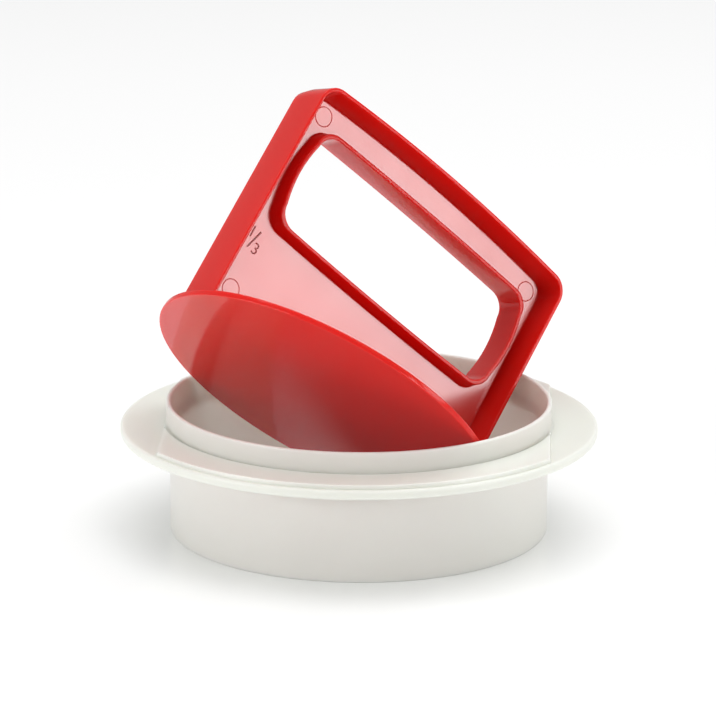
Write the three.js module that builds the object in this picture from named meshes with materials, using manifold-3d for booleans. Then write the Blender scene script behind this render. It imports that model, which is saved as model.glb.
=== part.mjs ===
// Patty press: an open moulding ring with a wide brim, and a one-piece press with a framed handle.
// Units are millimetres and +Z is up. The origin is the middle of the ring's bottom edge, on the
// surface that the ring stands on. The press is shown as it is put down: tipped into the ring.

import * as THREE from 'three';
import { mergeVertices } from 'three/addons/utils/BufferGeometryUtils.js';
import Module from 'manifold-3d';

const wasm = await Module();
wasm.setup();

// ---------------------------------------------------------------- driving dimensions

const RING = {
  height: 39.2, // bottom edge to rim
  boreBottomR: 55.0, // inner radius at the bottom edge
  boreBrimR: 55.3, // inner radius at brim level
  boreRimR: 56.0, // inner radius just below the rim
  skirtR: 56.3, // outer radius of the wall below the brim
  collarR: 57.3, // outer radius of the short wall above the brim
  rimRound: 0.6, // rounding of the rim's two edges
  edgeRound: 0.3, // rounding of the bottom edge
};

const BRIM = {
  radius: 71.0,
  bottom: 29.2,
  top: 32.0,
  edgeRound: 0.7,
  lipWidth: 1.5, // raised lip round the outer edge
  channelDepth: 1.2, // channel between the lip and the collar, front and back
  padChordX: 57.0, // the two side pads are flush with the lip beyond this line
};

const PLATE = {
  radius: 54.0, // runs inside the ring with 1 mm all round at the bottom edge
  thickness: 1.8,
  edgeRound: 0.4,
};

const FRAME = {
  halfWidth: 53.1,
  height: 77.6, // underside of the plate to the shoulders of the top bar
  arch: 1.8, // how far the middle of the top bar stands above its shoulders
  halfDepth: 7.65,
  wall: 2.6,
  cornerR: 7.5,
};

const WEB = {
  front: 1.5, // the web stands a little behind the handle's middle plane
  thickness: 1.5,
};

const GRIP = {
  halfWidth: 45.3, // at the middle of the bowed sides
  sideBow: 1.4, // the sides are this much nearer the middle at top and bottom
  bottom: 33.9,
  top: 65.5,
  bow: 0.5, // top and bottom edges bow outward by this
  cornerR: 4.6,
  wall: 1.6,
  front: -3.95,
  back: 6.75,
};

const GAP = 0.3; // between solids of the same moulding inside the tipped press

const LEAN = {
  x: -10.38,
  y: -13.89,
  z: 42.52, // middle of the plate's underside
  headingDeg: 26.28, // turn about Z
  dipDeg: 41.5, // right end down
  rollDeg: -18.9, // top away from the front
};

const ROUND_STEPS = 96; // segments round the ring and the plate
const ARC_STEPS = 2; // segments in a small rounding
const CORNER_STEPS = 6; // segments in a handle corner
const BOW_STEPS = 6; // segments along a bowed edge

// ---------------------------------------------------------------- materials

function ivoryPlastic() {
  return new THREE.MeshStandardMaterial({ color: 0xece9e0, roughness: 0.32, metalness: 0 });
}

function redPlastic() {
  return new THREE.MeshStandardMaterial({ color: 0xb8141a, roughness: 0.16, metalness: 0 });
}

// ---------------------------------------------------------------- shape helpers

// Points of an arc about a centre, from one angle to another, in degrees.
function arc(centreX, centreY, radius, fromDeg, toDeg, steps) {
  const points = [];
  for (let i = 0; i <= steps; i += 1) {
    const angle = THREE.MathUtils.degToRad(fromDeg + ((toDeg - fromDeg) * i) / steps);
    points.push(new THREE.Vector2(centreX + radius * Math.cos(angle), centreY + radius * Math.sin(angle)));
  }
  return points;
}

// A closed section of radius and height points, turned about Z. The points run anticlockwise.
function turned(section) {
  const geometry = new THREE.LatheGeometry([...section, section[0].clone()], ROUND_STEPS);
  geometry.rotateX(Math.PI / 2);
  return geometry;
}

// An outline in X and Z given a thickness from front to back along Y.
function upright(shape, front, back) {
  const geometry = new THREE.ExtrudeGeometry(shape, { depth: back - front, bevelEnabled: false });
  geometry.rotateX(Math.PI / 2);
  geometry.translate(0, back, 0);
  return geometry;
}

function toSolid(geometry) {
  const bare = geometry.clone();
  bare.deleteAttribute('normal');
  bare.deleteAttribute('uv');
  const merged = mergeVertices(bare, 1e-4);
  return new wasm.Manifold(new wasm.Mesh({
    numProp: 3,
    vertProperties: Float32Array.from(merged.attributes.position.array),
    triVerts: Uint32Array.from(merged.index.array),
  }));
}

function toGeometry(solid) {
  const mesh = solid.getMesh();
  const geometry = new THREE.BufferGeometry();
  geometry.setAttribute('position', new THREE.BufferAttribute(mesh.vertProperties, 3));
  geometry.setIndex(new THREE.BufferAttribute(mesh.triVerts, 1));
  geometry.computeVertexNormals();
  return geometry;
}

function part(name, geometry, material) {
  const mesh = new THREE.Mesh(geometry, material);
  mesh.name = name;
  return mesh;
}

// ---------------------------------------------------------------- ring

function ringSkirt() {
  const r = RING.edgeRound;
  return turned([
    ...arc(RING.skirtR - r, r, r, -90, 0, ARC_STEPS),
    new THREE.Vector2(RING.skirtR, BRIM.bottom),
    new THREE.Vector2(RING.boreBrimR, BRIM.bottom),
    ...arc(RING.boreBottomR + r, r, r, 180, 270, ARC_STEPS),
  ]);
}

function ringCollar() {
  const r = RING.rimRound;
  const top = RING.height - r;
  return turned([
    new THREE.Vector2(RING.collarR, BRIM.top),
    ...arc(RING.collarR - r, top, r, 0, 90, ARC_STEPS),
    ...arc(RING.boreRimR + r, top, r, 90, 180, ARC_STEPS),
    new THREE.Vector2(RING.boreBrimR, BRIM.top),
  ]);
}

// The brim's plain disc with a channel between the collar and the outer lip.
function brimBody() {
  const r = BRIM.edgeRound;
  const floor = BRIM.top - BRIM.channelDepth;
  return turned([
    new THREE.Vector2(RING.boreBrimR, BRIM.bottom),
    ...arc(BRIM.radius - r, BRIM.bottom + r, r, -90, 0, ARC_STEPS),
    ...arc(BRIM.radius - r, BRIM.top - r, r, 0, 90, ARC_STEPS),
    new THREE.Vector2(BRIM.radius - BRIM.lipWidth, BRIM.top),
    new THREE.Vector2(BRIM.radius - BRIM.lipWidth, floor),
    new THREE.Vector2(RING.collarR, floor),
    new THREE.Vector2(RING.collarR, BRIM.top),
    new THREE.Vector2(RING.boreBrimR, BRIM.top),
  ]);
}

// One side pad: the piece of the channel beyond a straight line, filled up to the lip.
function sidePad(side) {
  const reach = BRIM.radius - BRIM.lipWidth / 2;
  const half = THREE.MathUtils.radToDeg(Math.acos(BRIM.padChordX / reach));
  const middle = side > 0 ? 0 : 180;
  const shape = new THREE.Shape(arc(0, 0, reach, middle - half, middle + half, ROUND_STEPS / 4));
  const sunk = BRIM.channelDepth / 2;
  const depth = BRIM.channelDepth + sunk;
  const geometry = new THREE.ExtrudeGeometry(shape, { depth, bevelEnabled: false });
  geometry.translate(0, 0, BRIM.top - depth);
  return geometry;
}

function ringBrim() {
  const right = toSolid(sidePad(1));
  const left = toSolid(sidePad(-1));
  return toGeometry(toSolid(brimBody()).add(right).add(left));
}

function ring() {
  const group = new THREE.Group();
  group.add(part('ring_skirt', ringSkirt(), ivoryPlastic()));
  group.add(part('ring_brim', ringBrim(), ivoryPlastic()));
  group.add(part('ring_collar', ringCollar(), ivoryPlastic()));
  return group;
}

// ---------------------------------------------------------------- press

function pressPlate() {
  const r = PLATE.edgeRound;
  return turned([
    new THREE.Vector2(0, 0),
    ...arc(PLATE.radius - r, r, r, -90, 0, ARC_STEPS),
    ...arc(PLATE.radius - r, PLATE.thickness - r, r, 0, 90, ARC_STEPS),
    new THREE.Vector2(0, PLATE.thickness),
  ]);
}

// An outline of the handle, inset from its outer faces: straight sides, round corners, arched top.
function frameOutline(inset, bottom) {
  const half = FRAME.halfWidth - inset;
  const radius = Math.max(FRAME.cornerR - inset, 1);
  const shoulder = FRAME.height - inset;
  const cornerX = half - radius;
  const cornerY = shoulder - radius;
  const points = [new THREE.Vector2(half, bottom)];
  points.push(...arc(cornerX, cornerY, radius, 0, 90, CORNER_STEPS));
  for (let i = 1; i < 2 * BOW_STEPS; i += 1) {
    const x = cornerX * (1 - i / BOW_STEPS);
    points.push(new THREE.Vector2(x, shoulder + FRAME.arch * (1 - (x / cornerX) ** 2)));
  }
  points.push(...arc(-cornerX, cornerY, radius, 90, 180, CORNER_STEPS));
  points.push(new THREE.Vector2(-half, bottom));
  return points;
}

// The finger opening's outline, grown by an offset: four bowed edges and round corners.
function gripOutline(grow) {
  const radius = GRIP.cornerR + grow;
  const cornerHalf = GRIP.halfWidth - GRIP.sideBow + grow;
  const low = GRIP.bottom - grow;
  const high = GRIP.top + grow;
  const flat = cornerHalf - radius;
  const upper = high - radius;
  const lower = low + radius;
  const middle = (upper + lower) / 2;
  const rise = (upper - lower) / 2;
  const points = [];
  for (const side of [1, -1]) {
    const start = side > 0 ? -90 : 90;
    const firstY = side > 0 ? lower : upper;
    const lastY = side > 0 ? upper : lower;
    points.push(...arc(side * flat, firstY, radius, start, start + 90, CORNER_STEPS));
    for (let i = 1; i < BOW_STEPS; i += 1) {
      const t = (2 * i) / BOW_STEPS - 1;
      const x = cornerHalf + GRIP.sideBow * (1 - t * t);
      points.push(new THREE.Vector2(side * x, middle + side * t * rise));
    }
    points.push(...arc(side * flat, lastY, radius, start + 90, start + 180, CORNER_STEPS));
    for (let i = 1; i < BOW_STEPS; i += 1) {
      const t = 1 - (2 * i) / BOW_STEPS;
      const edge = side > 0 ? high + GRIP.bow * (1 - t * t) : low - GRIP.bow * (1 - t * t);
      points.push(new THREE.Vector2(side * t * flat, edge));
    }
  }
  return points;
}

function handleWeb() {
  const shape = new THREE.Shape(frameOutline(FRAME.wall + GAP, PLATE.thickness + GAP));
  shape.holes.push(new THREE.Path(gripOutline(GRIP.wall + GAP)));
  return upright(shape, WEB.front, WEB.front + WEB.thickness);
}

function handleFrame() {
  const bottom = PLATE.thickness + GAP;
  const inner = frameOutline(FRAME.wall, bottom).reverse();
  const shape = new THREE.Shape([...frameOutline(0, bottom), ...inner]);
  return upright(shape, -FRAME.halfDepth, FRAME.halfDepth);
}

function gripRim() {
  const shape = new THREE.Shape(gripOutline(GRIP.wall));
  shape.holes.push(new THREE.Path(gripOutline(0)));
  return upright(shape, GRIP.front, GRIP.back);
}

function press() {
  const group = new THREE.Group();
  group.add(part('press_plate', pressPlate(), redPlastic()));
  group.add(part('handle_web', handleWeb(), redPlastic()));
  group.add(part('handle_frame', handleFrame(), redPlastic()));
  group.add(part('grip_rim', gripRim(), redPlastic()));
  group.position.set(LEAN.x, LEAN.y, LEAN.z);
  group.rotation.set(
    THREE.MathUtils.degToRad(LEAN.rollDeg),
    THREE.MathUtils.degToRad(LEAN.dipDeg),
    THREE.MathUtils.degToRad(LEAN.headingDeg),
    'ZYX',
  );
  return group;
}

const pattyPress = new THREE.Group();
pattyPress.add(ring());
pattyPress.add(press());

export default pattyPress;
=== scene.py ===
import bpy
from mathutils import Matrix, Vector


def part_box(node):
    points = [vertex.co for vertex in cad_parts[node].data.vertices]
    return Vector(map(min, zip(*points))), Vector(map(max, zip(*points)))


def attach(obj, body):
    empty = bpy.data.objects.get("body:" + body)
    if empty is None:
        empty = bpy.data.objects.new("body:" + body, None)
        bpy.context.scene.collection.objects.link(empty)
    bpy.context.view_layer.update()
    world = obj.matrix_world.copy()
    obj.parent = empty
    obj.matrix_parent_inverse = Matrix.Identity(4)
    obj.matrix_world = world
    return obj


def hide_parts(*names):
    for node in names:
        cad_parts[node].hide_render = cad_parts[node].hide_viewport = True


bl_info = {
    "name": "Patty Press",
    "version": (1, 0, 0),
    "blender": (4, 5, 0),
    "location": "3D View > Sidebar > Patty Press",
    "description": "Makes a moulding ring with a wide brim and a one-piece press with a framed handle",
    "category": "Add Mesh",
}

import math

import bmesh
import bpy
import numpy as np
from bpy.props import FloatProperty, FloatVectorProperty, IntProperty, PointerProperty
from mathutils import Matrix, Vector

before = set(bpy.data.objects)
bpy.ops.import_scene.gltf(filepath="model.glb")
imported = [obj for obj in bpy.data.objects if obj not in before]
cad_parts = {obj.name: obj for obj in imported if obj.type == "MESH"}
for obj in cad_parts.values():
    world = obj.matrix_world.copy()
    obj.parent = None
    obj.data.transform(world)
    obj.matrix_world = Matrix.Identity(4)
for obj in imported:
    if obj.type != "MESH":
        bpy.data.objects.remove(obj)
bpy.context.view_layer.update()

MM = 0.001
NEAR = 0.002 * MM  # two points closer than this are the same place
ROUGHLY = 0.05 * MM  # near enough to pick out a corner after an inset
WEB_FLAT = 0.01 * MM  # faces this near to the web's level are the web itself
SHARP = math.radians(50)  # an edge between faces that turn more than this is a real corner
SMOOTH = math.radians(38)  # edges that turn less than this are shaded smooth

RING_NODES = ("ring_skirt", "ring_brim", "ring_collar")
PRESS_NODES = ("press_plate", "handle_web", "handle_frame", "grip_rim")

LIGHT_AIM = Vector((0, 0, 50 * MM))  # the point that the softboxes look at
RIPPLE_DEPTH = 0.05 * MM  # ripple that a mould leaves in a polished face
RECESS_GAP = 0.1 * MM  # the recess stops this far above the foot of the handle, inside the plate
RIM_MARGIN = 1.0 * MM  # edges this near to the opening's rim belong to it
CORNER_STEPS = 8
LONG_BOW_STEPS = 15
SIDE_BOW_STEPS = 7
PIN_MARKS = (  # middle of each ejector pin's mark, across and up from the middle of the plate's underside
    (-44.3 * MM, 70.7 * MM),
    (45.6 * MM, 70.4 * MM),
    (-43.5 * MM, 9.4 * MM),
    (43.5 * MM, 9.4 * MM),
)
FIGURES = (  # text, place across and up from the mark's middle, and share of the figures' size
    ("1", -1.1 * MM, 1.9 * MM, 1.0),
    ("/", 0.6 * MM, 0.0, 1.75),
    ("3", 2.5 * MM, -1.9 * MM, 1.0),
)


# ---------------------------------------------------------------- places, from the frame


def node_points(name):
    """The corners of a CAD node, as rows of x, y and z."""
    return np.array([corner.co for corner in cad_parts[name].data.vertices])


def press_axes():
    """Where the press lies: a matrix with X along the handle, Y to its back and Z up off the plate."""
    plate = node_points("press_plate")
    middle = plate.mean(axis=0)
    up = np.linalg.svd(plate - middle, full_matrices=False)[2][2]
    handle = node_points("handle_frame") - middle
    if handle.mean(axis=0) @ up < 0:
        up = -up
    flat = handle - np.outer(handle @ up, up)
    along = np.linalg.svd(flat - flat.mean(axis=0), full_matrices=False)[2][0]
    if along[2] > 0:
        along = -along
    underside = middle + up * ((plate - middle) @ up).min()
    place = Matrix.Identity(4)
    for column, axis in enumerate((along, np.cross(up, along), up, underside)):
        for row in range(3):
            place[row][column] = axis[row]
    return place


PRESS_PLACE = press_axes()


def upright_box(name):
    """The box of a node of the press, with the press stood upright on its plate."""
    back = np.array(PRESS_PLACE.inverted())
    points = node_points(name) @ back[:3, :3].T + back[:3, 3]
    return Vector(points.min(axis=0)), Vector(points.max(axis=0))


def outer_radius(name):
    """Half the width of a node of the ring, which is turned about Z."""
    low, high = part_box(name)
    return (high.x - low.x) / 2


PLATE_BOX = upright_box("press_plate")
FRAME_BOX = upright_box("handle_frame")
WEB_BOX = upright_box("handle_web")
RIM_BOX = upright_box("grip_rim")


def length(name, description, default):
    """A size that a user can change, in metres."""
    return FloatProperty(
        name=name, description=description, default=default, min=0, unit="LENGTH", precision=5
    )


def colour(name, description, default):
    """A plastic's colour, as light."""
    return FloatVectorProperty(
        name=name, description=description, default=default, size=3, min=0, max=1, subtype="COLOR"
    )


def factor(name, description, default, high=1.0):
    """A plain share or strength."""
    return FloatProperty(name=name, description=description, default=default, min=0, max=high)


def angle(name, description, degrees):
    """An angle, stored in radians."""
    return FloatProperty(name=name, description=description, default=math.radians(degrees), subtype="ANGLE")


# ---------------------------------------------------------------- sizes and colours


class RingSizes(bpy.types.PropertyGroup):
    """Sizes of the moulding ring"""

    height: length("Height", "Bottom edge to rim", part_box("ring_collar")[1].z)
    skirt_radius: length("Skirt radius", "Outside of the wall below the brim", outer_radius("ring_skirt"))
    collar_radius: length("Collar radius", "Outside of the wall above the brim", outer_radius("ring_collar"))
    brim_radius: length("Brim radius", "Outer edge of the brim", outer_radius("ring_brim"))
    brim_bottom: length("Brim underside", "Height of the brim's underside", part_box("ring_brim")[0].z)
    brim_top: length("Brim top", "Height of the brim's lip and pads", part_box("ring_brim")[1].z)
    rim_wall: length("Rim wall", "Thickness of the collar at the rim", 1.3 * MM)
    foot_wall: length("Foot wall", "Thickness of the skirt at the bottom edge", 1.3 * MM)
    brim_wall: length("Wall at the brim", "Thickness of the skirt just below the brim", 1.0 * MM)
    lip: length("Lip width", "Raised lip round the brim's outer edge", 1.5 * MM)
    channel: length("Channel depth", "Channel between the lip and the collar", 1.2 * MM)
    channel_slope: length("Channel slope", "How far the channel's walls lean in", 0.3 * MM)
    pad_line: length("Pad line", "The side pads begin this far from the middle", 57.0 * MM)
    rim_round: length("Rim rounding", "Radius of the rim's two edges", 0.55 * MM)
    foot_round: length("Foot rounding", "Radius of the bottom edge's corners", 0.35 * MM)
    brim_round: length("Brim rounding", "Radius of the brim's outer edges", 0.95 * MM)
    fillet: length("Fillet", "Radius where the walls meet the brim", 0.9 * MM)
    steps: IntProperty(name="Steps", description="Segments round the ring", default=256, min=24)


class PressSizes(bpy.types.PropertyGroup):
    """Sizes of the press, stood upright on its plate"""

    plate_radius: length("Plate radius", "Round plate under the handle", PLATE_BOX[1].x)
    plate_top: length("Plate thickness", "Underside to top of the plate", PLATE_BOX[1].z)
    plate_round: length("Plate rounding", "Radius of the plate's edges", 0.4 * MM)
    half_width: length("Handle half width", "Middle to the outside of a side wall", FRAME_BOX[1].x)
    arch: length("Arch", "Rise of the top bar's middle over its shoulders", 1.8 * MM)
    crown: length("Crown height", "Underside of the plate to the middle of the top bar", FRAME_BOX[1].z)
    front: length("Half depth", "Handle's middle plane to its front edge", FRAME_BOX[1].y)
    corner: length("Corner radius", "Outer corners of the handle", 6.2 * MM)
    draft: length("Draft", "How much narrower the outside is at its front and back edges", 0.3 * MM)
    edge_wall: length("Edge thickness", "Wall thickness at the front and back edges", 1.15 * MM)
    root_wall: length("Root thickness", "Wall thickness where it meets the web", 2.6 * MM)
    edge_round: length("Edge rounding", "Radius of the wall's edges", 0.3 * MM)
    root_round: length("Root fillet", "Radius where the walls meet the web", 0.35 * MM)
    web_front: length("Web front", "Middle plane to the web's front face", WEB_BOX[0].y)
    web_back: length("Web back", "Middle plane to the web's back face", WEB_BOX[1].y)
    grip_half: length("Opening half width", "Half of the finger opening, at its bowed sides", 45.05 * MM)
    grip_aside: length("Opening aside", "How far the opening sits to the right of the middle", 0.25 * MM)
    grip_bottom: length("Opening bottom", "Underside of the plate to the opening", 33.9 * MM)
    grip_top: length("Opening top", "Underside of the plate to the top of the opening", 65.5 * MM)
    grip_side_bow: length("Side bow", "Bow of the opening's sides", 1.4 * MM)
    grip_bow: length("Top and bottom bow", "Bow of the opening's long edges", 0.5 * MM)
    grip_corner: length("Opening corner", "Radius of the opening's corners", 4.6 * MM)
    rim_wall: length("Rim thickness", "Wall round the opening, at its edges", 1.2 * MM)
    rim_root: length("Rim root thickness", "Wall round the opening, where it meets the web", 1.55 * MM)
    rim_back: length("Rim back", "Middle plane to the back of the rim", RIM_BOX[1].y)
    rim_front: length("Rim front", "Middle plane to the front of the rim", -RIM_BOX[0].y)
    rim_round: length("Rim rounding", "Radius of the rim's edges", 0.35 * MM)
    pin_radius: length("Pin mark radius", "Round marks of the ejector pins", 2.95 * MM)
    pin_depth: length("Pin mark depth", "How deep the outline of a mark is", 0.16 * MM)


class MarkSizes(bpy.types.PropertyGroup):
    """Sizes of the portion mark on the handle"""

    figure: length("Figure size", "Size of the figures' type", 5.2 * MM)
    stroke: length("Stroke rounding", "Width of the rounding along the strokes", 0.15 * MM)
    thin: length("Stroke thinning", "How much the strokes are thinned", 0.09 * MM)
    sunk: length("Root depth", "How far the figures' roots go into the web", 0.02 * MM)
    across: length("Place across", "Middle of the handle to the mark", 45.3 * MM)
    up: length("Place up", "Underside of the plate to the mark", 25.8 * MM)


class PlasticLooks(bpy.types.PropertyGroup):
    """Colours and gloss of the two plastics"""

    ivory: colour("Ring", "Off-white plastic of the ring", (0.725, 0.735, 0.685))
    red: colour("Press", "Red plastic of the press", (0.585, 0.014, 0.010))
    ivory_gloss: factor("Ring roughness", "Roughness of the ring's polish", 0.34)
    red_gloss: factor("Press roughness", "Roughness of the press's polish", 0.08)
    satin_gloss: factor("Web roughness", "Roughness of the web's satin finish", 0.17)
    # Painted light: the web's red is multiplied by this to a lighter tint than the press's own red, standing
    # in for the light the web catches.
    web_painted_light: factor("Web lighter", "How much lighter the satin web is than the press", 1.15, 2.0)
    ivory_depth: length("Ring glow depth", "How far light goes into the ring's plastic", 3.0 * MM)
    red_depth: length("Press glow depth", "How far light goes into the press's plastic", 4.5 * MM)
    grain: FloatVectorProperty(
        name="Web grain",
        description="Which way the web's grain faces, with the press upright",
        size=3,
        default=(-0.125, -0.98, -0.155),
    )


class StageSetting(bpy.types.PropertyGroup):
    """Floor, lights and camera"""

    floor: length("Floor size", "Width of the floor", 12.0)
    azimuth: angle("Azimuth", "Turn of the camera round the ring", 2.45)
    elevation: angle("Elevation", "Height of the camera over the horizon", 15.308)
    roll: angle("Roll", "Lean of the camera", 0.2926)
    distance: length("Distance", "Camera to the point it looks at", 1.24515)
    aim_across: FloatProperty(
        name="Aim across", description="How far right the camera looks", default=-0.42 * MM, unit="LENGTH"
    )
    aim_depth: FloatProperty(
        name="Aim depth", description="How far back the camera looks", default=-0.02 * MM, unit="LENGTH"
    )
    aim_height: length("Aim height", "Height of the point that the camera looks at", 51.5 * MM)
    lens: FloatProperty(name="Lens", description="Focal length in millimetres", default=211.17, min=1)


# ---------------------------------------------------------------- modelling by hand


def deselect():
    """Leaves edit mode and deselects everything, the CAD nodes too."""
    if bpy.context.object is not None and bpy.context.object.mode != "OBJECT":
        bpy.ops.object.mode_set(mode="OBJECT")
    bpy.ops.object.select_all(action="DESELECT")


def open_edit(piece):
    """Starts editing a piece, with nothing selected."""
    deselect()
    piece.select_set(True)
    bpy.context.view_layer.objects.active = piece
    bpy.ops.object.mode_set(mode="EDIT")
    bpy.ops.mesh.select_all(action="DESELECT")


def close_edit():
    bpy.ops.object.mode_set(mode="OBJECT")


def pick(kind, test):
    """In edit mode, selects the vertices, edges or faces that pass a test, and says how many."""
    bpy.ops.mesh.select_mode(type=kind)
    bpy.ops.mesh.select_all(action="DESELECT")
    data = bpy.context.edit_object.data
    mesh = bmesh.from_edit_mesh(data)
    mesh.normal_update()
    items = {"VERT": mesh.verts, "EDGE": mesh.edges, "FACE": mesh.faces}[kind]
    count = 0
    for item in items:
        if test(item):
            item.select_set(True)
            count += 1
    mesh.select_flush_mode()
    bmesh.update_edit_mesh(data)
    return count


def at_level(axis, value):
    """A test for vertices, edges or faces that lie wholly at one level."""

    def test(item):
        corners = [item] if isinstance(item, bmesh.types.BMVert) else item.verts
        return all(abs(corner.co[axis] - value) < NEAR for corner in corners)

    return test


def corner_at_level(axis, value):
    """A test for edges at one level where the surface really turns."""
    level = at_level(axis, value)

    def test(edge):
        return level(edge) and len(edge.link_faces) == 2 and edge.calc_face_angle() > SHARP

    return test


def round_edges(test, radius, segments=3):
    """Rounds or fillets the edges that pass the test."""
    if pick("EDGE", test):
        bpy.ops.mesh.bevel(
            offset_type="OFFSET", offset=radius, segments=segments, profile=0.5, affect="EDGES",
            clamp_overlap=False,
        )


def extrude_by(offset):
    """Extrudes what is selected, and moves the new part."""
    bpy.ops.mesh.extrude_region_move(TRANSFORM_OT_translate={"value": offset})


def scale_about(factors, centre):
    """Scales what is selected about a point."""
    bpy.ops.transform.resize(value=factors, center_override=centre)


def finish_mesh(piece):
    """Merges doubles, points the faces outwards and shades the piece, with its flat faces kept flat."""
    open_edit(piece)
    bpy.ops.mesh.select_all(action="SELECT")
    bpy.ops.mesh.remove_doubles(threshold=NEAR)
    bpy.ops.mesh.normals_make_consistent(inside=False)
    close_edit()
    bpy.ops.object.shade_smooth_by_angle(angle=SMOOTH)
    modifier = piece.modifiers.new("Flat faces", "WEIGHTED_NORMAL")
    modifier.keep_sharp = True
    bpy.ops.object.modifier_apply(modifier=modifier.name)


def cut(piece, tool, operation):
    """Joins a tool's shape to a piece, or cuts it out, and removes the tool."""
    deselect()
    piece.select_set(True)
    bpy.context.view_layer.objects.active = piece
    modifier = piece.modifiers.new("Cut", "BOOLEAN")
    modifier.operation = operation
    modifier.solver = "EXACT"
    modifier.object = tool
    bpy.ops.object.modifier_apply(modifier=modifier.name)
    bpy.data.objects.remove(tool)


def put_in_place(piece, place):
    """Moves a piece that was made upright to where the press lies, with its place in its mesh."""
    deselect()
    piece.select_set(True)
    bpy.context.view_layer.objects.active = piece
    piece.matrix_world = place
    bpy.ops.object.transform_apply(location=True, rotation=True, scale=True)


def named_primitive(name):
    """Names the primitive that was just added."""
    piece = bpy.context.object
    piece.name = name
    piece.data.name = name
    return piece


# ---------------------------------------------------------------- ring


def turn_section(piece, section):
    """From a circle at the section's first point, extrudes the rest of the section and closes it."""
    open_edit(piece)
    bpy.ops.mesh.select_all(action="SELECT")
    radius, height = section[0]
    for next_radius, next_height in section[1:]:
        extrude_by((0, 0, next_height - height))
        share = next_radius / radius
        scale_about((share, share, 1), (0, 0, next_height))
        radius, height = next_radius, next_height
    pick("EDGE", lambda edge: edge.is_boundary)
    bpy.ops.mesh.bridge_edge_loops()
    close_edit()


def ring_corner(radius, height):
    """A test for the edges of the ring at one radius and height."""

    def test(edge):
        return all(
            abs(corner.co.z - height) < NEAR and abs(corner.co.xy.length - radius) < NEAR
            for corner in edge.verts
        )

    return test


def sink_channels(sizes):
    """Sinks the channel between the lip and the collar, front and back, and leaves the side pads."""
    inner = sizes.collar_radius + sizes.fillet
    outer = sizes.brim_radius - sizes.lip

    def on_flat(face):
        middle = face.calc_center_median()
        return abs(middle.z - sizes.brim_top) < NEAR and inner < middle.xy.length < outer

    for side in (1, -1):
        pick("FACE", on_flat)
        bpy.ops.mesh.bisect(plane_co=(side * sizes.pad_line, 0, 0), plane_no=(1, 0, 0))
    pick("FACE", lambda face: on_flat(face) and abs(face.calc_center_median().x) < sizes.pad_line)
    bpy.ops.mesh.inset(thickness=sizes.channel_slope, depth=-sizes.channel, use_even_offset=False)


class PATTYPRESS_OT_ring(bpy.types.Operator):
    """Makes the moulding ring: skirt, brim and collar in one piece"""

    bl_idname = "pattypress.ring"
    bl_label = "Ring"

    def execute(self, context):
        sizes = context.scene.ring_sizes
        rim_inside = sizes.collar_radius - sizes.rim_wall
        brim_inside = sizes.skirt_radius - sizes.brim_wall
        foot_inside = sizes.skirt_radius - sizes.foot_wall
        section = [
            (sizes.skirt_radius, 0),
            (sizes.skirt_radius, sizes.brim_bottom),
            (sizes.brim_radius, sizes.brim_bottom),
            (sizes.brim_radius, sizes.brim_top),
            (sizes.brim_radius - sizes.lip, sizes.brim_top),
            (sizes.collar_radius, sizes.brim_top),
            (sizes.collar_radius, sizes.height),
            (rim_inside, sizes.height),
            (brim_inside, sizes.brim_bottom),
            (foot_inside, 0),
        ]
        deselect()
        bpy.ops.mesh.primitive_circle_add(vertices=sizes.steps, radius=sizes.skirt_radius)
        ring = named_primitive("ring_moulding")
        turn_section(ring, section)
        open_edit(ring)
        round_edges(ring_corner(sizes.collar_radius, sizes.brim_top), sizes.fillet, 5)
        round_edges(ring_corner(sizes.skirt_radius, sizes.brim_bottom), sizes.fillet, 4)
        round_edges(ring_corner(sizes.brim_radius, sizes.brim_bottom), sizes.brim_round, 4)
        round_edges(ring_corner(sizes.brim_radius, sizes.brim_top), sizes.brim_round, 4)
        round_edges(ring_corner(sizes.collar_radius, sizes.height), sizes.rim_round, 4)
        round_edges(ring_corner(rim_inside, sizes.height), sizes.rim_round, 4)
        round_edges(ring_corner(sizes.skirt_radius, 0), sizes.foot_round)
        round_edges(ring_corner(foot_inside, 0), sizes.foot_round)
        sink_channels(sizes)
        close_edit()
        finish_mesh(ring)
        ring.data.materials.append(ivory_plastic(context.scene.plastic_looks))
        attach(ring, "ring")
        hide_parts(*RING_NODES)
        return {"FINISHED"}


# ---------------------------------------------------------------- press


def bow_edge(start, end, axis, rise, cuts):
    """Subdivides the straight edge between two places, and bows it out along an axis."""
    span = (end - start).length

    def on_edge(edge):
        return all(min((c.co - start).length, (c.co - end).length) < NEAR for c in edge.verts)

    pick("EDGE", on_edge)
    bpy.ops.mesh.subdivide(number_cuts=cuts)
    line = (end - start).normalized()
    for step in range(1, cuts + 1):
        share = step / (cuts + 1)
        place = start + line * span * share
        pick("VERT", lambda corner: (corner.co - place).length < NEAR)
        offset = Vector((0, 0, 0))
        offset[axis] = rise * 4 * share * (1 - share)
        bpy.ops.transform.translate(value=offset)


def round_corners(places, radius):
    """Rounds the flat corners at the given places."""
    pick("VERT", lambda corner: any((corner.co - place).length < NEAR for place in places))
    bpy.ops.mesh.bevel(
        offset_type="OFFSET", offset=radius, segments=CORNER_STEPS, profile=0.5, affect="VERTICES",
        clamp_overlap=False,
    )


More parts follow.
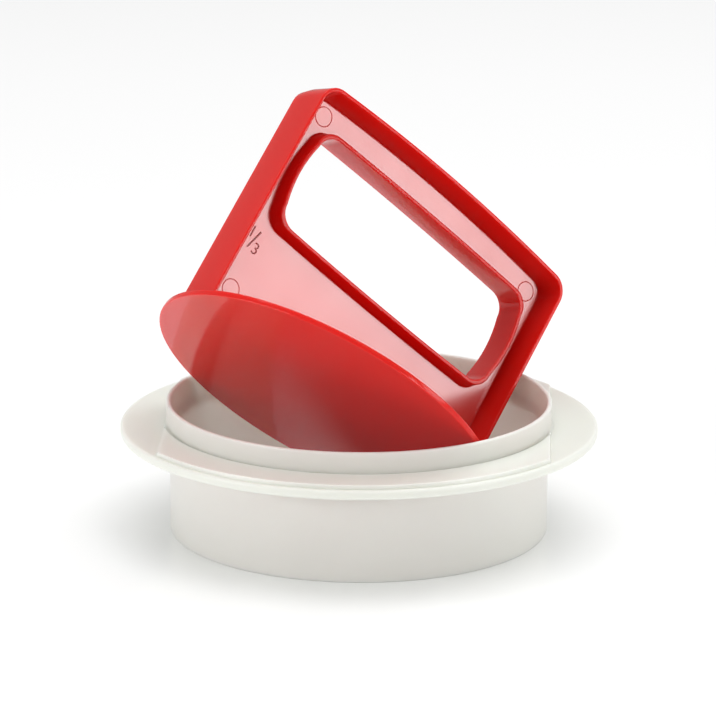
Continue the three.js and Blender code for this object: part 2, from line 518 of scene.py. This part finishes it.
def handle_outline(sizes, bottom, seam):
    """The handle's outline: straight sides, round corners and an arched top."""
    half = sizes.half_width
    shoulder = sizes.crown - sizes.arch
    deselect()
    bpy.ops.mesh.primitive_plane_add(size=1, rotation=(math.radians(90), 0, 0))
    handle = named_primitive("press_moulding")
    handle.scale = (2 * half, shoulder - bottom, 1)
    handle.location = (0, seam, (bottom + shoulder) / 2)
    bpy.ops.object.transform_apply(location=True, rotation=True, scale=True)
    open_edit(handle)
    round_corners([Vector((side * half, seam, shoulder)) for side in (-1, 1)], sizes.corner)
    flat = half - sizes.corner
    left = Vector((-flat, seam, shoulder))
    right = Vector((flat, seam, shoulder))
    bow_edge(left, right, 2, sizes.arch, LONG_BOW_STEPS)
    return handle


def hollow(sizes, face_y, web_y, bottom):
    """Sinks a recess from the front or the back edge down to the web."""
    edge = at_level(1, face_y)
    lowest = bottom + sizes.edge_wall
    pick("FACE", edge)
    bpy.ops.mesh.inset(thickness=sizes.edge_wall, depth=0, use_even_offset=True)
    pick("VERT", lambda corner: edge(corner) and abs(corner.co.z - lowest) < ROUGHLY)
    bpy.ops.transform.translate(value=(0, 0, RECESS_GAP - sizes.edge_wall))
    pick("FACE", lambda face: edge(face) and len(face.verts) > 4)
    extrude_by((0, web_y - face_y, 0))
    edge_half = sizes.half_width - sizes.draft - sizes.edge_wall
    root_half = sizes.half_width - sizes.root_wall
    edge_top = sizes.crown - sizes.draft - sizes.edge_wall - bottom
    root_top = sizes.crown - sizes.root_wall - bottom
    scale_about((root_half / edge_half, 1, root_top / edge_top), (0, web_y, bottom))
    bpy.ops.mesh.delete(type="ONLY_FACE")


def handle_walls(sizes, bottom, seam):
    """Extrudes the outline to the front and to the back, with draft, and sinks both recesses."""
    shrink_x = (sizes.half_width - sizes.draft) / sizes.half_width
    shrink_z = (sizes.crown - sizes.draft - bottom) / (sizes.crown - bottom)
    bpy.ops.mesh.select_mode(type="FACE")
    bpy.ops.mesh.select_all(action="SELECT")
    extrude_by((0, -sizes.front - seam, 0))
    scale_about((shrink_x, 1, shrink_z), (0, -sizes.front, bottom))
    pick("FACE", lambda face: at_level(1, seam)(face) and len(face.verts) > 4)
    extrude_by((0, sizes.front - seam, 0))
    scale_about((shrink_x, 1, shrink_z), (0, sizes.front, bottom))
    hollow(sizes, -sizes.front, sizes.web_front, bottom)
    hollow(sizes, sizes.front, sizes.web_back, bottom)


def grip_loops(sizes, seam):
    """The raised rim of the finger opening, as one band from the web's front to its back."""
    grow = sizes.rim_root
    half = sizes.grip_half - sizes.grip_side_bow + grow
    low = sizes.grip_bottom - grow
    high = sizes.grip_top + grow
    radius = sizes.grip_corner + grow
    y = sizes.web_front
    middle = (low + high) / 2
    bpy.ops.mesh.select_all(action="DESELECT")
    bpy.ops.mesh.primitive_plane_add(
        size=1, location=(0, y, middle), rotation=(math.radians(90), 0, 0)
    )
    scale_about((2 * half, 1, high - low), (0, y, middle))
    places = [Vector((side * half, y, level)) for side in (-1, 1) for level in (low, high)]
    round_corners(places, radius)
    flat = half - radius
    upper = high - radius
    lower = low + radius
    for side in (-1, 1):
        foot = Vector((side * half, y, lower))
        head = Vector((side * half, y, upper))
        bow_edge(foot, head, 0, side * sizes.grip_side_bow, SIDE_BOW_STEPS)
    for level, bow in ((high, sizes.grip_bow), (low, -sizes.grip_bow)):
        bow_edge(Vector((-flat, y, level)), Vector((flat, y, level)), 2, bow, LONG_BOW_STEPS)
    pick("FACE", lambda face: at_level(1, y)(face))
    bpy.ops.mesh.delete(type="ONLY_FACE")
    web_level = at_level(1, y)
    pick("EDGE", lambda edge: web_level(edge) and edge.is_wire)
    wide = sizes.grip_half + grow
    tall = (high - low) / 2 + sizes.grip_bow
    steps = [
        (sizes.rim_wall, -sizes.rim_front),
        (0, -sizes.rim_front),
        (-sizes.draft, seam),
        (0, sizes.rim_back),
        (sizes.rim_wall, sizes.rim_back),
        (grow, sizes.web_back),
    ]
    now = grow
    for offset, level in steps:
        extrude_by((0, level - y, 0))
        change = offset - now
        scale_about(((wide + change) / wide, 1, (tall + change) / tall), (0, level, middle))
        wide += change
        tall += change
        now = offset
        y = level
    pick("VERT", lambda corner: all(near_grip(edge, sizes) for edge in corner.link_edges))
    bpy.ops.transform.translate(value=(sizes.grip_aside, 0, 0))


def close_web(sizes):
    """Fills the web between the walls and the rim, front and back."""
    for level in (sizes.web_front, sizes.web_back):
        pick("EDGE", lambda edge: at_level(1, level)(edge) and (edge.is_boundary or edge.is_wire))
        bpy.ops.mesh.fill(use_beauty=True)


def press_plate(sizes):
    """The round plate, with its two edges rounded."""
    deselect()
    bpy.ops.mesh.primitive_circle_add(vertices=256, radius=sizes.plate_radius, fill_type="NGON")
    plate = named_primitive("plate")
    open_edit(plate)
    bpy.ops.mesh.select_all(action="SELECT")
    extrude_by((0, 0, sizes.plate_top))
    for level in (0, sizes.plate_top):
        round_edges(corner_at_level(2, level), sizes.plate_round, 4)
    bpy.ops.mesh.select_all(action="SELECT")
    bpy.ops.mesh.normals_make_consistent(inside=False)
    close_edit()
    return plate


def pin_tool(sizes, x, z):
    """A thin round wire that cuts the outline of an ejector pin's mark into the front of the web."""
    deselect()
    bpy.ops.mesh.primitive_torus_add(
        major_radius=sizes.pin_radius, minor_radius=sizes.pin_depth, major_segments=64, minor_segments=10,
        location=(x, sizes.web_front, z), rotation=(math.radians(90), 0, 0),
    )
    tool = named_primitive("pin_tool")
    bpy.ops.object.transform_apply(location=True, rotation=True, scale=True)
    return tool


class PATTYPRESS_OT_press(bpy.types.Operator):
    """Makes the press: plate, framed handle, web and the rim of the finger opening in one piece"""

    bl_idname = "pattypress.press"
    bl_label = "Press"

    def execute(self, context):
        sizes = context.scene.press_sizes
        seam = (sizes.web_front + sizes.web_back) / 2
        bottom = sizes.plate_top / 3
        press = handle_outline(sizes, bottom, seam)
        handle_walls(sizes, bottom, seam)
        grip_loops(sizes, seam)
        close_web(sizes)
        bpy.ops.mesh.select_all(action="SELECT")
        bpy.ops.mesh.remove_doubles(threshold=NEAR)
        bpy.ops.mesh.normals_make_consistent(inside=False)
        for level in (sizes.web_front, sizes.web_back):
            root = corner_at_level(1, level)
            round_edges(lambda edge: root(edge) and not near_grip(edge, sizes), sizes.root_round, 4)
            round_edges(lambda edge: root(edge) and near_grip(edge, sizes), sizes.rim_round)
        for level in (-sizes.front, sizes.front):
            round_edges(corner_at_level(1, level), sizes.edge_round)
        for level in (-sizes.rim_front, sizes.rim_back):
            round_edges(corner_at_level(1, level), sizes.rim_round)
        close_edit()
        cut(press, press_plate(sizes), "UNION")
        for across, up in PIN_MARKS:
            cut(press, pin_tool(sizes, across, up), "DIFFERENCE")
        finish_mesh(press)
        put_in_place(press, PRESS_PLACE)
        press.data.materials.append(red_plastic(context.scene.plastic_looks))
        press.data.materials.append(satin_plastic_painted_lighter(context.scene.plastic_looks))
        open_edit(press)
        # The web's faces get the satin copy of the red, whose lighter colour is painted light.
        pick("FACE", on_web(sizes))
        press.active_material_index = 1
        bpy.ops.object.material_slot_assign()
        close_edit()
        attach(press, "press")
        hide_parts(*PRESS_NODES)
        return {"FINISHED"}


def on_web(sizes):
    """A test for the flat faces of the web's front, with the press in place."""
    back = PRESS_PLACE.inverted()
    facing = -PRESS_PLACE.to_3x3().col[1]

    def test(face):
        return face.normal.dot(facing) > 0.999 and all(
            abs((back @ corner.co).y - sizes.web_front) < WEB_FLAT for corner in face.verts
        )

    return test


def near_grip(edge, sizes):
    """Whether an edge belongs to the rim of the finger opening rather than to the outer walls."""
    reach_x = sizes.grip_half + sizes.rim_root + RIM_MARGIN
    middle = (sizes.grip_top + sizes.grip_bottom) / 2
    reach_z = (sizes.grip_top - sizes.grip_bottom) / 2 + sizes.rim_root + RIM_MARGIN
    return all(abs(c.co.x) < reach_x and abs(c.co.z - middle) < reach_z for c in edge.verts)


# ---------------------------------------------------------------- portion mark


class PATTYPRESS_OT_mark(bpy.types.Operator):
    """Makes the raised portion mark, one third, low on the left of the web"""

    bl_idname = "pattypress.mark"
    bl_label = "Portion mark"

    def execute(self, context):
        sizes = context.scene.mark_sizes
        press = context.scene.press_sizes
        strokes = []
        for text, across, up, share in FIGURES:
            deselect()
            bpy.ops.object.text_add()
            figure = bpy.context.object.data
            figure.body = text
            figure.align_x = "CENTER"
            figure.align_y = "CENTER"
            figure.size = sizes.figure * share
            figure.offset = -sizes.thin
            figure.extrude = sizes.sunk
            figure.bevel_depth = sizes.stroke / 2
            figure.bevel_resolution = 2
            bpy.ops.object.convert(target="MESH")
            stroke = bpy.context.object
            stroke.location = (across - sizes.across, press.web_front - sizes.sunk, sizes.up + up)
            stroke.rotation_euler = (math.radians(90), 0, 0)
            bpy.ops.object.transform_apply(location=True, rotation=True, scale=True)
            strokes.append(stroke)
        deselect()
        for stroke in strokes:
            stroke.select_set(True)
        bpy.context.view_layer.objects.active = strokes[0]
        bpy.ops.object.join()
        mark = named_primitive("portion_mark")
        finish_mesh(mark)
        put_in_place(mark, PRESS_PLACE)
        mark.data.materials.append(red_plastic(context.scene.plastic_looks))
        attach(mark, "press")
        return {"FINISHED"}


# ---------------------------------------------------------------- plastics


def socket(tree, name, kind, direction, default=None, low=None, high=None):
    """Adds a named input or output to a node group."""
    made = tree.interface.new_socket(name=name, in_out=direction, socket_type=kind)
    if default is not None:
        made.default_value = default
    if low is not None:
        made.min_value = low
        made.max_value = high
    return made


def noise(tree, source, scale, detail=2.0, roughness=0.5):
    """A noise over the piece."""
    node = tree.nodes.new("ShaderNodeTexNoise")
    node.inputs["Scale"].default_value = scale
    node.inputs["Detail"].default_value = detail
    node.inputs["Roughness"].default_value = roughness
    tree.links.new(source, node.inputs["Vector"])
    return node.outputs["Fac"]


def spread(tree, value, low_in, high_in, low_out, high_out):
    """Maps a value from one range to another."""
    node = tree.nodes.new("ShaderNodeMapRange")
    limits = {"From Min": low_in, "From Max": high_in, "To Min": low_out, "To Max": high_out}
    for name, number in limits.items():
        node.inputs[name].default_value = number
    tree.links.new(value, node.inputs["Value"])
    return node.outputs["Result"]


def maths(tree, operation, first, second):
    """Joins two values, or a value and a number."""
    node = tree.nodes.new("ShaderNodeMath")
    node.operation = operation
    for place, item in enumerate((first, second)):
        if isinstance(item, bpy.types.NodeSocket):
            tree.links.new(item, node.inputs[place])
        else:
            node.inputs[place].default_value = item
    return node.outputs[0]


def moulded_finish():
    """Node group: faint flow in the colour, uneven polish, fine scuffs and the ripple of a moulding."""
    found = bpy.data.node_groups.get("Moulded finish")
    if found is not None:
        return found
    tree = bpy.data.node_groups.new("Moulded finish", "ShaderNodeTree")
    socket(tree, "Colour", "NodeSocketColor", "INPUT", (0.8, 0.8, 0.8, 1))
    socket(tree, "Flow", "NodeSocketFloat", "INPUT", 0.04, 0, 1)
    socket(tree, "Polish", "NodeSocketFloat", "INPUT", 0.2, 0, 1)
    socket(tree, "Scuffs", "NodeSocketFloat", "INPUT", 0.06, 0, 1)
    socket(tree, "Colour", "NodeSocketColor", "OUTPUT")
    socket(tree, "Roughness", "NodeSocketFloat", "OUTPUT")
    socket(tree, "Ripple", "NodeSocketFloat", "OUTPUT")
    inputs = tree.nodes.new("NodeGroupInput")
    outputs = tree.nodes.new("NodeGroupOutput")
    place = tree.nodes.new("ShaderNodeTexCoord").outputs["Object"]
    flow = noise(tree, place, 28, 3)
    grain = noise(tree, place, 900, 2)
    patches = noise(tree, place, 60, 4, 0.6)
    stretch = tree.nodes.new("ShaderNodeMapping")
    stretch.inputs["Rotation"].default_value = (0.4, 0.9, 0.3)
    stretch.inputs["Scale"].default_value = (2600, 90, 420)
    tree.links.new(place, stretch.inputs["Vector"])
    scratch = noise(tree, stretch.outputs["Vector"], 1, 2)

    mix = tree.nodes.new("ShaderNodeHueSaturation")
    change = maths(tree, "MULTIPLY", maths(tree, "SUBTRACT", flow, 0.5), inputs.outputs["Flow"])
    tree.links.new(maths(tree, "ADD", change, 1.0), mix.inputs["Value"])
    tree.links.new(inputs.outputs["Colour"], mix.inputs["Color"])
    tree.links.new(mix.outputs["Color"], outputs.inputs["Colour"])

    uneven = spread(tree, patches, 0.35, 0.75, 0.0, 1.0)
    fine = spread(tree, scratch, 0.62, 0.72, 0.0, 1.0)
    worn = maths(tree, "MULTIPLY", maths(tree, "ADD", uneven, fine), inputs.outputs["Scuffs"])
    tree.links.new(maths(tree, "ADD", inputs.outputs["Polish"], worn), outputs.inputs["Roughness"])
    ripple = maths(tree, "ADD", maths(tree, "MULTIPLY", grain, 0.12), patches)
    tree.links.new(ripple, outputs.inputs["Ripple"])
    return tree


def moulded_plastic(name, tint, flow, polish, scuffs, ripple, settings):
    """A plastic: the moulded finish group feeding a Principled shader with the plastic's own numbers."""
    found = bpy.data.materials.get(name)
    if found is not None:
        return found
    material = bpy.data.materials.new(name)
    material.use_nodes = True
    tree = material.node_tree
    shader = tree.nodes["Principled BSDF"]
    finish = tree.nodes.new("ShaderNodeGroup")
    finish.node_tree = moulded_finish()
    finish.inputs["Colour"].default_value = (*tint, 1)
    finish.inputs["Flow"].default_value = flow
    finish.inputs["Polish"].default_value = polish
    finish.inputs["Scuffs"].default_value = scuffs
    bump = tree.nodes.new("ShaderNodeBump")
    bump.name = "Ripple"
    bump.inputs["Strength"].default_value = ripple
    bump.inputs["Distance"].default_value = RIPPLE_DEPTH
    tree.links.new(finish.outputs["Colour"], shader.inputs["Base Color"])
    tree.links.new(finish.outputs["Roughness"], shader.inputs["Roughness"])
    tree.links.new(finish.outputs["Ripple"], bump.inputs["Height"])
    tree.links.new(bump.outputs["Normal"], shader.inputs["Normal"])
    for socket_name, value in settings.items():
        shader.inputs[socket_name].default_value = value
    return material


def ivory_plastic(looks):
    """The ring's off-white plastic, which lets a little light through its walls."""
    glow = {
        "IOR": 1.5,
        "Subsurface Weight": 1.0,
        "Subsurface Radius": (1.0, 1.0, 0.95),
        "Subsurface Scale": looks.ivory_depth,
    }
    return moulded_plastic(
        "Ivory plastic", looks.ivory, flow=0.02, polish=looks.ivory_gloss, scuffs=0.05, ripple=0.25,
        settings=glow,
    )


def red_plastic(looks):
    """The press's glossy red plastic, which glows a little where it is thin."""
    glow = {
        "IOR": 1.38,
        "Specular IOR Level": 0.45,
        "Subsurface Weight": 0.8,
        "Subsurface Radius": (1.0, 0.08, 0.06),
        "Subsurface Scale": looks.red_depth,
    }
    return moulded_plastic(
        "Red plastic", looks.red, flow=0.05, polish=looks.red_gloss, scuffs=0.04, ripple=0.2, settings=glow
    )


def satin_plastic_painted_lighter(looks):
    """The red plastic as it is on the web: satin, with a grain that leans, so it catches the right light,
    and with its red painted lighter than the press's red as painted light.
    """
    # Painted light: the web's tint is the press's red made lighter, not a different colour of the plastic.
    tint = [min(1, looks.web_painted_light * part) for part in looks.red]
    material = moulded_plastic(
        "Red satin plastic painted lighter", tint, flow=0.05, polish=looks.satin_gloss, scuffs=0.04, ripple=0.2,
        settings={"IOR": 1.75},
    )
    tree = material.node_tree
    lean = tree.nodes.new("ShaderNodeNormalMap")
    lean.space = "OBJECT"
    grain = PRESS_PLACE.to_3x3() @ Vector(looks.grain)
    grain.normalize()
    half = Vector((0.5, 0.5, 0.5))
    lean.inputs["Color"].default_value = (*(0.5 * grain + half), 1)
    tree.links.new(lean.outputs["Normal"], tree.nodes["Ripple"].inputs["Normal"])
    return material


# ---------------------------------------------------------------- stage


def soft_box(name, direction, distance, width, height, power):
    """A rectangular softbox that looks at the object from a direction."""
    light = bpy.data.lights.new(name, "AREA")
    light.shape = "RECTANGLE"
    light.size = width
    light.size_y = height
    light.energy = power
    lamp = bpy.data.objects.new(name, light)
    bpy.context.scene.collection.objects.link(lamp)
    way = Vector(direction).normalized()
    lamp.location = LIGHT_AIM + way * distance
    lamp.rotation_euler = way.to_track_quat("Z", "Y").to_euler()
    return lamp


def pale_floor(size):
    """A plain pale floor that shows a faint reflection."""
    deselect()
    bpy.ops.mesh.primitive_grid_add(x_subdivisions=4, y_subdivisions=4, size=size)
    floor = named_primitive("floor")
    material = bpy.data.materials.new("Pale floor")
    material.use_nodes = True
    shader = material.node_tree.nodes["Principled BSDF"]
    shader.inputs["Base Color"].default_value = (0.93, 0.93, 0.93, 1)
    shader.inputs["Roughness"].default_value = 0.14
    shader.inputs["Emission Color"].default_value = (1, 1, 1, 1)
    shader.inputs["Emission Strength"].default_value = 0.06
    floor.data.materials.append(material)
    return floor


def add_camera(setting):
    """The camera, turned round the ring, raised and leaned as set."""
    turn, rise, lean = setting.azimuth, setting.elevation, setting.roll
    back = Vector((math.sin(turn) * math.cos(rise), -math.cos(turn) * math.cos(rise), math.sin(rise)))
    right = Vector((math.cos(turn), math.sin(turn), 0))
    up = back.cross(right)
    across = right * math.cos(lean) + up * math.sin(lean)
    upward = up * math.cos(lean) - right * math.sin(lean)
    camera = bpy.data.objects.new("camera", bpy.data.cameras.new("camera"))
    bpy.context.scene.collection.objects.link(camera)
    camera.data.lens = setting.lens
    camera.data.sensor_width = 36
    aim = Vector((setting.aim_across, setting.aim_depth, setting.aim_height))
    turned = Matrix((across, upward, back)).transposed().to_4x4()
    camera.matrix_world = Matrix.Translation(aim + back * setting.distance) @ turned
    camera.data.clip_start = 0.05
    camera.data.clip_end = 50
    bpy.context.scene.camera = camera


class PATTYPRESS_OT_stage(bpy.types.Operator):
    """Makes the pale floor, the soft lights and the camera"""

    bl_idname = "pattypress.stage"
    bl_label = "Stage"

    def execute(self, context):
        setting = context.scene.stage_setting
        pale_floor(setting.floor)
        world = bpy.data.worlds.new("Studio")
        world.use_nodes = True
        world.node_tree.nodes["Background"].inputs["Color"].default_value = (1, 1, 1, 1)
        world.node_tree.nodes["Background"].inputs["Strength"].default_value = 0.45
        context.scene.world = world
        soft_box("right_softbox", (0.786, -0.593, 0.179), distance=0.9, width=0.27, height=0.25, power=1.45)
        soft_box("edge_softbox", (0.956, -0.263, 0.131), distance=0.9, width=0.22, height=0.22, power=0.6)
        soft_box("left_softbox", (-0.80, -0.55, 0.12), distance=1.2, width=0.7, height=0.6, power=6.6)
        soft_box("top_softbox", (0.1, 0.25, 1.0), distance=2.0, width=2.6, height=2.6, power=45.0)
        add_camera(setting)
        context.scene.view_settings.view_transform = "Standard"
        return {"FINISHED"}


# ---------------------------------------------------------------- add-on


class PATTYPRESS_PT_panel(bpy.types.Panel):
    """Lists the pieces of the patty press and their sizes"""

    bl_idname = "PATTYPRESS_PT_panel"
    bl_label = "Patty Press"
    bl_space_type = "VIEW_3D"
    bl_region_type = "UI"
    bl_category = "Patty Press"

    def draw(self, context):
        scene = context.scene
        for operator, group in (
            ("pattypress.ring", scene.ring_sizes),
            ("pattypress.press", scene.press_sizes),
            ("pattypress.mark", scene.mark_sizes),
            ("pattypress.stage", scene.stage_setting),
        ):
            box = self.layout.box()
            box.operator(operator)
            for name in group.__annotations__:
                box.prop(group, name)
        looks = self.layout.box()
        for name in scene.plastic_looks.__annotations__:
            looks.prop(scene.plastic_looks, name)


GROUPS = {
    "ring_sizes": RingSizes,
    "press_sizes": PressSizes,
    "mark_sizes": MarkSizes,
    "plastic_looks": PlasticLooks,
    "stage_setting": StageSetting,
}
CLASSES = (
    *GROUPS.values(),
    PATTYPRESS_OT_ring,
    PATTYPRESS_OT_press,
    PATTYPRESS_OT_mark,
    PATTYPRESS_OT_stage,
    PATTYPRESS_PT_panel,
)


def register():
    for item in CLASSES:
        bpy.utils.register_class(item)
    for name, group in GROUPS.items():
        setattr(bpy.types.Scene, name, PointerProperty(type=group))


def unregister():
    for name in GROUPS:
        delattr(bpy.types.Scene, name)
    for item in reversed(CLASSES):
        bpy.utils.unregister_class(item)


def main():
    register()
    bpy.ops.pattypress.ring()
    bpy.ops.pattypress.press()
    bpy.ops.pattypress.mark()
    bpy.ops.pattypress.stage()


if __name__ == "__main__":
    main()
